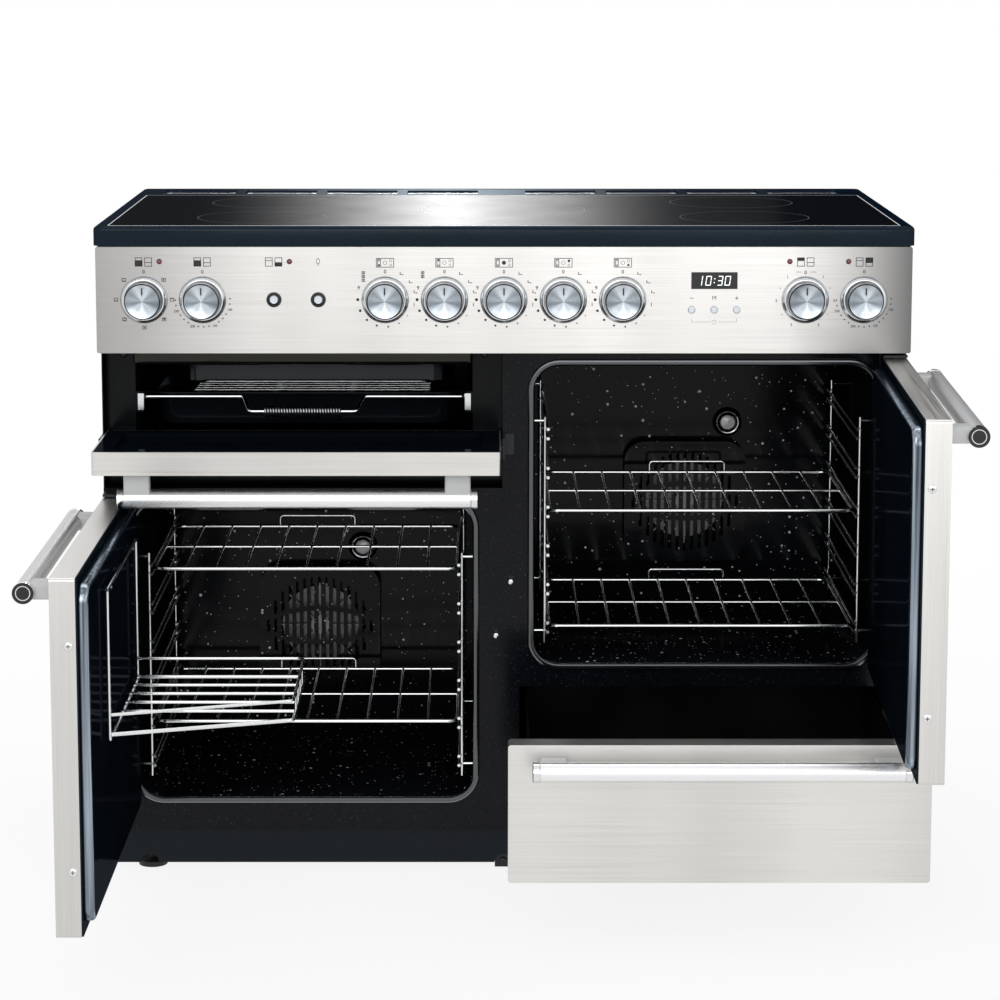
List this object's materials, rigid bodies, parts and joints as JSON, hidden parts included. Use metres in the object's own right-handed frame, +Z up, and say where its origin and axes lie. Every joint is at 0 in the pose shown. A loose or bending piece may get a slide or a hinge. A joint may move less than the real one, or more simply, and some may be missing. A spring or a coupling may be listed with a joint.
{
  "type": "induction range cooker",
  "caption": "Free-standing induction range cooker with side-hung oven doors, a drop-door grill, a storage drawer, rotary dials and wire shelves.",
  "frame": {"origin": "on the floor under the middle of the hob", "axes": "+X to the right, -Y to the front, +Z up"},
  "size_m": [1.1764, 1.1082, 0.905],
  "materials": {
    "stainless": "horizontally brushed stainless steel",
    "black_enamel": "glossy black vitreous enamel",
    "speckled_enamel": "black vitreous enamel with fine pale speckle",
    "drawer_black": "satin black powder coat",
    "hob_enamel": "glossy blue-black enamel",
    "hob_glass": "black ceramic glass",
    "galvanised": "galvanised sheet",
    "chrome_wire": "bright plated wire",
    "satin_metal": "satin anodised aluminium",
    "zinc_steel": "zinc plated steel",
    "seal": "woven glass fibre gasket",
    "board": "moulded plastic",
    "clock_lens": "smoked lens",
    "lamp_red": "dark red lens",
    "lamp_glass": "clear glass lens",
    "button_white": "pale glossy button"
  },
  "bodies": {
    "cabinet": {"side_panels": "black_enamel", "back_panel": "galvanised", "base_tray": "galvanised", "plinth": "black_enamel", "front_frame": "black_enamel", "hob_surround": "hob_enamel", "hob_glass": "hob_glass", "induction_units": "board", "control_panel": "stainless", "dial_rings": "satin_metal", "rotary_switches": "board", "clock_display": "clock_lens", "indicator_lamps": "lamp_red", "left_oven_cavity": "speckled_enamel", "right_oven_cavity": "speckled_enamel", "grill_cavity": "speckled_enamel", "drawer_housing": "drawer_black", "shelf_ladders": "chrome_wire", "heating_elements": "zinc_steel", "oven_fan_units": "speckled_enamel", "oven_lamps": "lamp_glass", "oven_door_seals": "seal", "door_hinges": "zinc_steel", "levelling_feet": "zinc_steel"},
    "left_door": {"left_door_skin": "stainless", "left_door_liner": "black_enamel", "left_door_handle": "satin_metal"},
    "right_door": {"right_door_skin": "stainless", "right_door_liner": "black_enamel", "right_door_handle": "satin_metal"},
    "grill_door": {"grill_door_skin": "stainless", "grill_door_liner": "black_enamel", "grill_door_handle": "satin_metal"},
    "drawer": {"drawer_front": "stainless", "drawer_box": "drawer_black", "drawer_handle": "satin_metal"},
    "grill_carriage": {"grill_carriage": "chrome_wire", "grill_pan": "black_enamel", "grill_trivet": "chrome_wire"},
    "roasting_rack": {"door_roasting_rack": "chrome_wire"},
    "left_oven_function_knob": {"left_oven_function_knob": "satin_metal"},
    "left_oven_temperature_knob": {"left_oven_temperature_knob": "satin_metal"},
    "left_front_hob_knob": {"left_front_hob_knob": "satin_metal"},
    "left_rear_hob_knob": {"left_rear_hob_knob": "satin_metal"},
    "centre_hob_knob": {"centre_hob_knob": "satin_metal"},
    "right_rear_hob_knob": {"right_rear_hob_knob": "satin_metal"},
    "right_front_hob_knob": {"right_front_hob_knob": "satin_metal"},
    "grill_knob": {"grill_knob": "satin_metal"},
    "right_oven_knob": {"right_oven_knob": "satin_metal"},
    "drawer_button": {"drawer_button": "button_white"},
    "light_button": {"light_button": "button_white"},
    "clock_minus_button": {"clock_minus_button": "button_white"},
    "clock_mode_button": {"clock_mode_button": "button_white"},
    "clock_plus_button": {"clock_plus_button": "button_white"},
    "left_oven_lower_shelf": {"left_oven_lower_shelf": "chrome_wire"},
    "left_oven_upper_shelf": {"left_oven_upper_shelf": "chrome_wire"},
    "right_oven_lower_shelf": {"right_oven_lower_shelf": "chrome_wire"},
    "right_oven_upper_shelf": {"right_oven_upper_shelf": "chrome_wire"},
    "left_oven_fan": {"left_oven_fan": "zinc_steel"},
    "right_oven_fan": {"right_oven_fan": "zinc_steel"}
  },
  "joints": [
    {"name": "left_door_swing", "type": "hinge", "parent": "cabinet", "child": "left_door", "pos_m": [-0.524, -0.284, 0.3165], "axis": [0, 0, -1], "range_deg": [-90, 15]},
    {"name": "right_door_swing", "type": "hinge", "parent": "cabinet", "child": "right_door", "pos_m": [0.524, -0.284, 0.5055], "axis": [0, 0, 1], "range_deg": [-88, 17]},
    {"name": "grill_door_drop", "type": "hinge", "parent": "cabinet", "child": "grill_door", "pos_m": [-0.272, -0.284, 0.604], "axis": [1, 0, 0], "range_deg": [-90, 0]},
    {"name": "drawer_slide", "type": "slide", "parent": "cabinet", "child": "drawer", "axis": [0, -1, 0], "range_m": [-0.29, 0.06]},
    {"name": "grill_carriage_slide", "type": "slide", "parent": "cabinet", "child": "grill_carriage", "axis": [0, -1, 0], "range_m": [0, 0.18]},
    {"name": "roasting_rack_lift", "type": "slide", "parent": "left_door", "child": "roasting_rack", "axis": [0, 0, 1], "range_m": [0, 0.03]},
    {"name": "left_oven_function_knob_turn", "type": "hinge", "parent": "cabinet", "child": "left_oven_function_knob", "pos_m": [-0.479, -0.31, 0.807], "axis": [0, 1, 0], "continuous": true},
    {"name": "left_oven_temperature_knob_turn", "type": "hinge", "parent": "cabinet", "child": "left_oven_temperature_knob", "pos_m": [-0.401, -0.31, 0.807], "axis": [0, 1, 0], "range_deg": [0, 270]},
    {"name": "left_front_hob_knob_turn", "type": "hinge", "parent": "cabinet", "child": "left_front_hob_knob", "pos_m": [-0.158, -0.31, 0.807], "axis": [0, 1, 0], "range_deg": [0, 300]},
    {"name": "left_rear_hob_knob_turn", "type": "hinge", "parent": "cabinet", "child": "left_rear_hob_knob", "pos_m": [-0.079, -0.31, 0.807], "axis": [0, 1, 0], "range_deg": [0, 300]},
    {"name": "centre_hob_knob_turn", "type": "hinge", "parent": "cabinet", "child": "centre_hob_knob", "pos_m": [0, -0.31, 0.807], "axis": [0, 1, 0], "range_deg": [0, 300]},
    {"name": "right_rear_hob_knob_turn", "type": "hinge", "parent": "cabinet", "child": "right_rear_hob_knob", "pos_m": [0.079, -0.31, 0.807], "axis": [0, 1, 0], "range_deg": [0, 300]},
    {"name": "right_front_hob_knob_turn", "type": "hinge", "parent": "cabinet", "child": "right_front_hob_knob", "pos_m": [0.158, -0.31, 0.807], "axis": [0, 1, 0], "range_deg": [0, 300]},
    {"name": "grill_knob_turn", "type": "hinge", "parent": "cabinet", "child": "grill_knob", "pos_m": [0.401, -0.31, 0.807], "axis": [0, 1, 0], "range_deg": [-150, 150]},
    {"name": "right_oven_knob_turn", "type": "hinge", "parent": "cabinet", "child": "right_oven_knob", "pos_m": [0.479, -0.31, 0.807], "axis": [0, 1, 0], "range_deg": [0, 270]},
    {"name": "drawer_button_press", "type": "slide", "parent": "cabinet", "child": "drawer_button", "axis": [0, 1, 0], "range_m": [0, 0.003], "stiffness_N_per_m": 300, "springref_m": -0.001},
    {"name": "light_button_press", "type": "slide", "parent": "cabinet", "child": "light_button", "axis": [0, 1, 0], "range_m": [0, 0.003], "stiffness_N_per_m": 300, "springref_m": -0.001},
    {"name": "clock_minus_button_press", "type": "slide", "parent": "cabinet", "child": "clock_minus_button", "axis": [0, 1, 0], "range_m": [0, 0.0012], "stiffness_N_per_m": 300, "springref_m": -0.001},
    {"name": "clock_mode_button_press", "type": "slide", "parent": "cabinet", "child": "clock_mode_button", "axis": [0, 1, 0], "range_m": [0, 0.0012], "stiffness_N_per_m": 300, "springref_m": -0.001},
    {"name": "clock_plus_button_press", "type": "slide", "parent": "cabinet", "child": "clock_plus_button", "axis": [0, 1, 0], "range_m": [0, 0.0012], "stiffness_N_per_m": 300, "springref_m": -0.001},
    {"name": "left_oven_lower_shelf_slide", "type": "slide", "parent": "cabinet", "child": "left_oven_lower_shelf", "axis": [0, -1, 0], "range_m": [0, 0.2]},
    {"name": "left_oven_upper_shelf_slide", "type": "slide", "parent": "cabinet", "child": "left_oven_upper_shelf", "axis": [0, -1, 0], "range_m": [0, 0.2]},
    {"name": "right_oven_lower_shelf_slide", "type": "slide", "parent": "cabinet", "child": "right_oven_lower_shelf", "axis": [0, -1, 0], "range_m": [0, 0.2]},
    {"name": "right_oven_upper_shelf_slide", "type": "slide", "parent": "cabinet", "child": "right_oven_upper_shelf", "axis": [0, -1, 0], "range_m": [0, 0.2]},
    {"name": "left_oven_fan_spin", "type": "hinge", "parent": "cabinet", "child": "left_oven_fan", "pos_m": [-0.272, 0.14, 0.2645], "axis": [0, 1, 0], "continuous": true},
    {"name": "right_oven_fan_spin", "type": "hinge", "parent": "cabinet", "child": "right_oven_fan", "pos_m": [0.272, 0.14, 0.4535], "axis": [0, 1, 0], "continuous": true}
  ]
}
